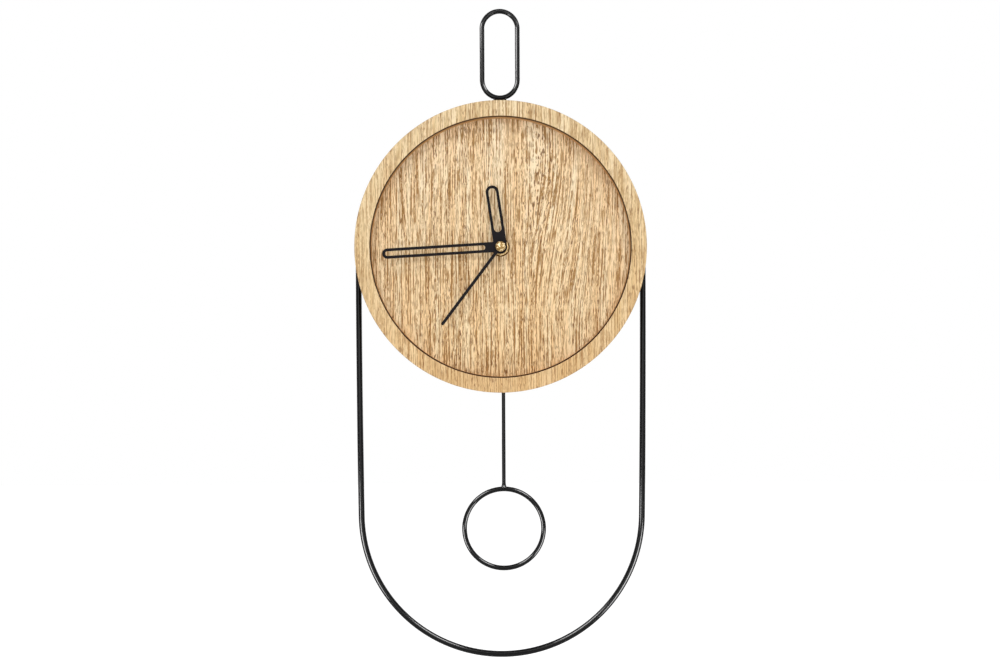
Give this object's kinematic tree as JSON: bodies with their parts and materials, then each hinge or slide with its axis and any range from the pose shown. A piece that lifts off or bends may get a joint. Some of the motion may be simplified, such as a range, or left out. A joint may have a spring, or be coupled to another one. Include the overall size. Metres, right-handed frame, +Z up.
{
  "type": "wall pendulum clock",
  "caption": "Round oak wall clock with a recessed plain dial and slotted black hands, held in a black bent-wire frame with a hanging loop above and a ring pendulum below.",
  "frame": {"origin": "the point on the wall where the crown of the hanging loop rests on its nail", "axes": "+X to the right seen from the front, +Y out of the back towards the wall, +Z up"},
  "size_m": [0.2366, 0.0502, 0.5288],
  "materials": {
    "oak_veneer": "oak veneer under matt lacquer, grain upright",
    "pine": "plain sawn softwood",
    "black_steel": "black powder coat, satin",
    "black_hand_paint": "matt black paint",
    "brass": "bright turned brass",
    "zinc_steel": "zinc plated",
    "black_plastic": "fine spark-eroded texture",
    "white_plastic": "natural acetal",
    "magnet": "sintered ferrite",
    "copper": "enamelled copper winding",
    "black_rubber": "matt",
    "board": "green solder mask",
    "cell_sleeve": "plain dark sleeve, no print"
  },
  "bodies": {
    "case": {"case_ring": "oak_veneer", "dial_plate": "oak_veneer", "dial_block_1": "pine", "dial_block_2": "pine", "dial_block_3": "pine", "dial_block_4": "pine", "wire_frame": "black_steel", "hanging_loop": "black_steel", "frame_tab_upper_right": "black_steel", "frame_tab_lower_right": "black_steel", "frame_tab_upper_left": "black_steel", "frame_tab_lower_left": "black_steel", "centre_bush": "brass", "brass_washer": "brass", "brass_nut": "brass", "tab_screw_upper_right": "zinc_steel", "tab_screw_lower_right": "zinc_steel", "tab_screw_upper_left": "zinc_steel", "tab_screw_lower_left": "zinc_steel", "cover_screw_1": "zinc_steel", "cover_screw_2": "zinc_steel", "cover_screw_3": "zinc_steel", "cover_screw_4": "zinc_steel", "stator": "zinc_steel", "quartz_crystal": "zinc_steel", "contact_positive": "zinc_steel", "contact_negative": "zinc_steel", "pivot_pin": "zinc_steel", "movement_housing": "black_plastic", "rear_cover": "black_plastic", "timing_chip": "black_plastic", "middle_plate": "white_plastic", "motor_coil": "copper", "drive_coil": "copper", "rubber_washer": "black_rubber", "circuit_board": "board", "battery": "cell_sleeve"},
    "seconds": {"seconds_wheel": "white_plastic", "seconds_hand": "black_hand_paint", "seconds_cap": "brass"},
    "minute": {"cannon_pinion": "white_plastic", "minute_hand": "black_hand_paint"},
    "hour": {"hour_wheel": "white_plastic", "hour_hand": "black_hand_paint"},
    "motion": {"motion_wheel": "white_plastic", "set_knob": "black_plastic"},
    "centre_wheel": {"centre_wheel": "white_plastic"},
    "third_wheel": {"third_wheel": "white_plastic"},
    "intermediate_wheel": {"intermediate_wheel": "white_plastic"},
    "rotor": {"rotor": "magnet"},
    "pendulum": {"hanger_lever": "white_plastic", "drive_magnet": "magnet", "link_pin": "zinc_steel", "pendulum_rod": "black_steel", "pendulum_ring": "black_steel"}
  },
  "joints": [
    {"name": "seconds_turn", "type": "hinge", "parent": "case", "child": "seconds", "pos_m": [0, -0.02, -0.1926], "axis": [0, 1, 0], "continuous": true},
    {"name": "rotor_turn", "type": "hinge", "parent": "case", "child": "rotor", "pos_m": [0.01411, -0.02, -0.18726], "axis": [0, 1, 0], "continuous": true},
    {"name": "intermediate_turn", "type": "hinge", "parent": "case", "child": "intermediate_wheel", "pos_m": [0.00897, -0.02, -0.19338], "axis": [0, 1, 0], "continuous": true},
    {"name": "third_turn", "type": "hinge", "parent": "case", "child": "third_wheel", "pos_m": [0.00285, -0.02, -0.18197], "axis": [0, 1, 0], "continuous": true},
    {"name": "centre_wheel_turn", "type": "hinge", "parent": "case", "child": "centre_wheel", "pos_m": [0, -0.02, -0.1926], "axis": [0, 1, 0], "continuous": true},
    {"name": "minute_turn", "type": "hinge", "parent": "case", "child": "minute", "pos_m": [0, -0.02, -0.1926], "axis": [0, 1, 0], "continuous": true},
    {"name": "motion_turn", "type": "hinge", "parent": "case", "child": "motion", "pos_m": [-0.01146, -0.02, -0.1926], "axis": [0, 1, 0], "continuous": true},
    {"name": "hour_turn", "type": "hinge", "parent": "case", "child": "hour", "pos_m": [0, -0.02, -0.1926], "axis": [0, 1, 0], "continuous": true},
    {"name": "pendulum_swing", "type": "hinge", "parent": "case", "child": "pendulum", "pos_m": [0.0018, -0.02, -0.22666], "axis": [0, 1, 0], "range_deg": [-5, 5]}
  ],
  "couplings": [
    {"joint": "rotor_turn", "follows": "seconds_turn", "ratio": 30},
    {"joint": "intermediate_turn", "follows": "seconds_turn", "ratio": -6},
    {"joint": "third_turn", "follows": "seconds_turn", "ratio": -0.13333},
    {"joint": "centre_wheel_turn", "follows": "seconds_turn", "ratio": 0.016667},
    {"joint": "motion_turn", "follows": "minute_turn", "ratio": -0.33333},
    {"joint": "hour_turn", "follows": "minute_turn", "ratio": 0.083333}
  ]
}
